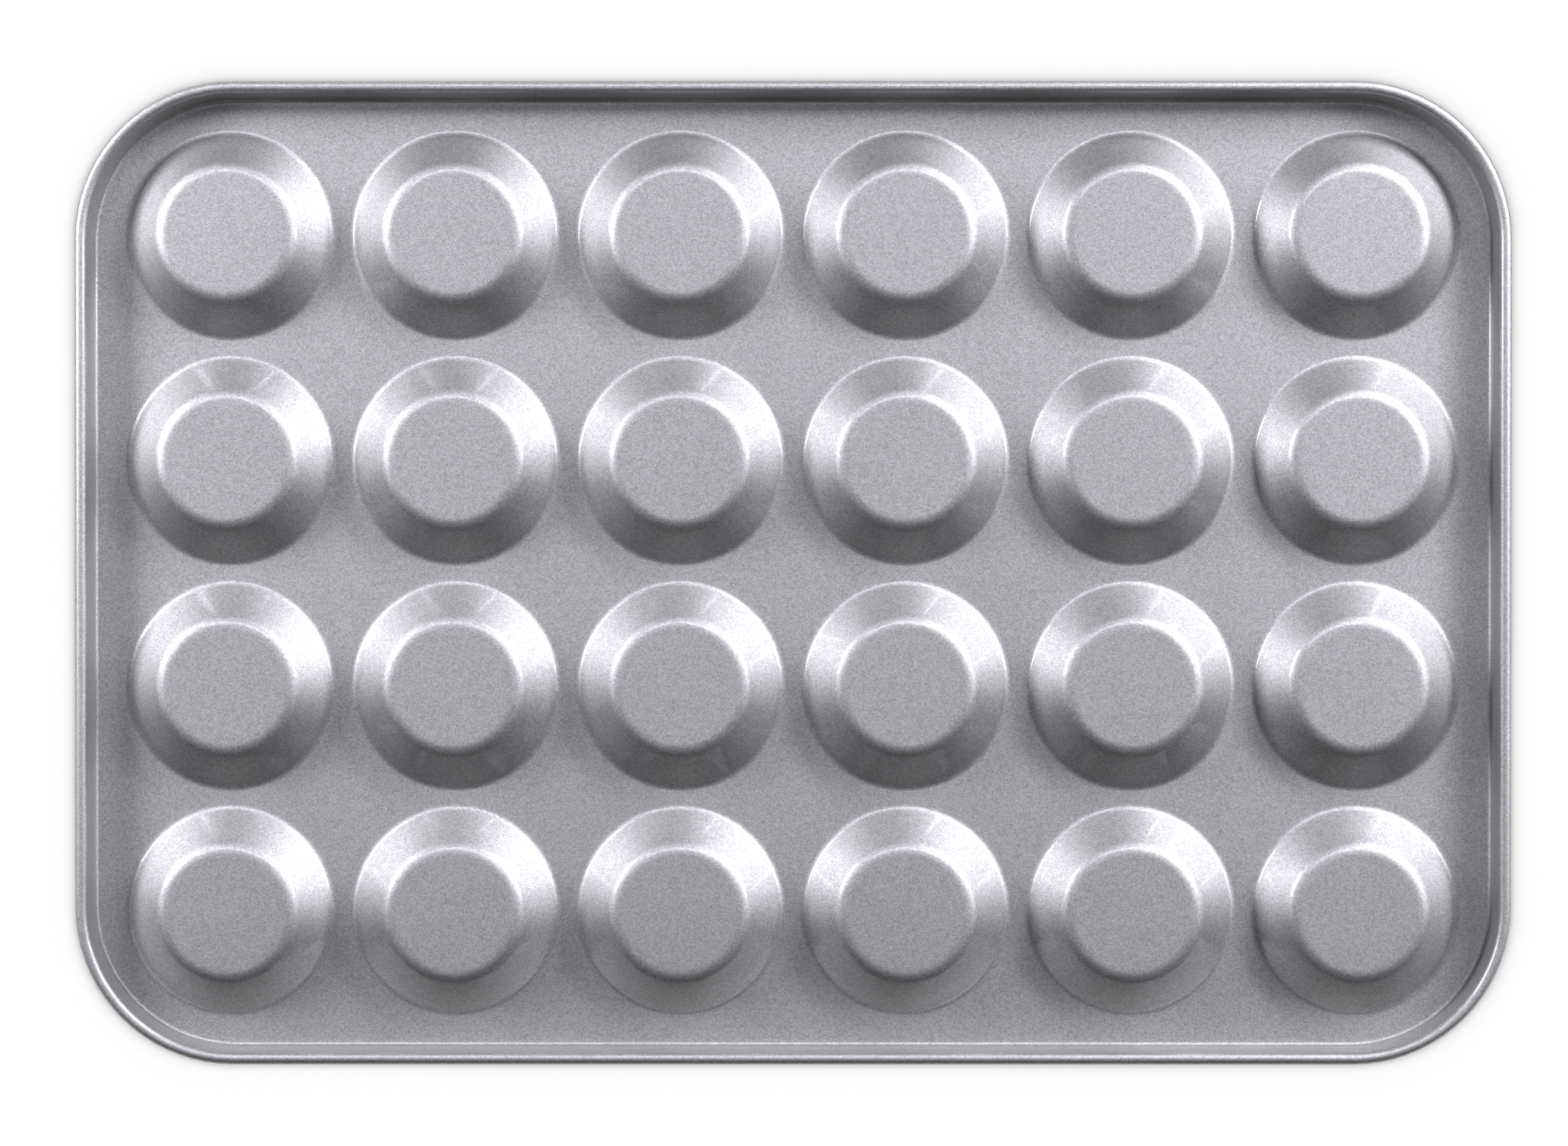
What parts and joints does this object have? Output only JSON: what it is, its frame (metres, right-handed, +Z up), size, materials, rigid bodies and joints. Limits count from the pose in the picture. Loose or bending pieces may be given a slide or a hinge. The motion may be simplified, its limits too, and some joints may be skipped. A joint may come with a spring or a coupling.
{
  "type": "florentine pan",
  "caption": "Rectangular pressed-steel baking pan with rounded corners, rows of shallow conical cups, a turned-down skirt and a rolled, wired edge.",
  "frame": {"origin": "middle of the pan in plan, on the surface that its rolled edge stands on", "axes": "+X along the long side, +Y along the short side towards the back, +Z up, the way that the cups open"},
  "size_m": [0.4006, 0.2742, 0.011],
  "materials": {
    "coated_sheet": "satin",
    "wire": "satin"
  },
  "bodies": {
    "root": {"deck": "coated_sheet", "cup_row1_col1": "coated_sheet", "cup_row1_col2": "coated_sheet", "cup_row1_col3": "coated_sheet", "cup_row1_col4": "coated_sheet", "cup_row1_col5": "coated_sheet", "cup_row1_col6": "coated_sheet", "cup_row2_col1": "coated_sheet", "cup_row2_col2": "coated_sheet", "cup_row2_col3": "coated_sheet", "cup_row2_col4": "coated_sheet", "cup_row2_col5": "coated_sheet", "cup_row2_col6": "coated_sheet", "cup_row3_col1": "coated_sheet", "cup_row3_col2": "coated_sheet", "cup_row3_col3": "coated_sheet", "cup_row3_col4": "coated_sheet", "cup_row3_col5": "coated_sheet", "cup_row3_col6": "coated_sheet", "cup_row4_col1": "coated_sheet", "cup_row4_col2": "coated_sheet", "cup_row4_col3": "coated_sheet", "cup_row4_col4": "coated_sheet", "cup_row4_col5": "coated_sheet", "cup_row4_col6": "coated_sheet", "rolled_skirt": "coated_sheet", "rim_wire": "wire"}
  },
  "joints": []
}
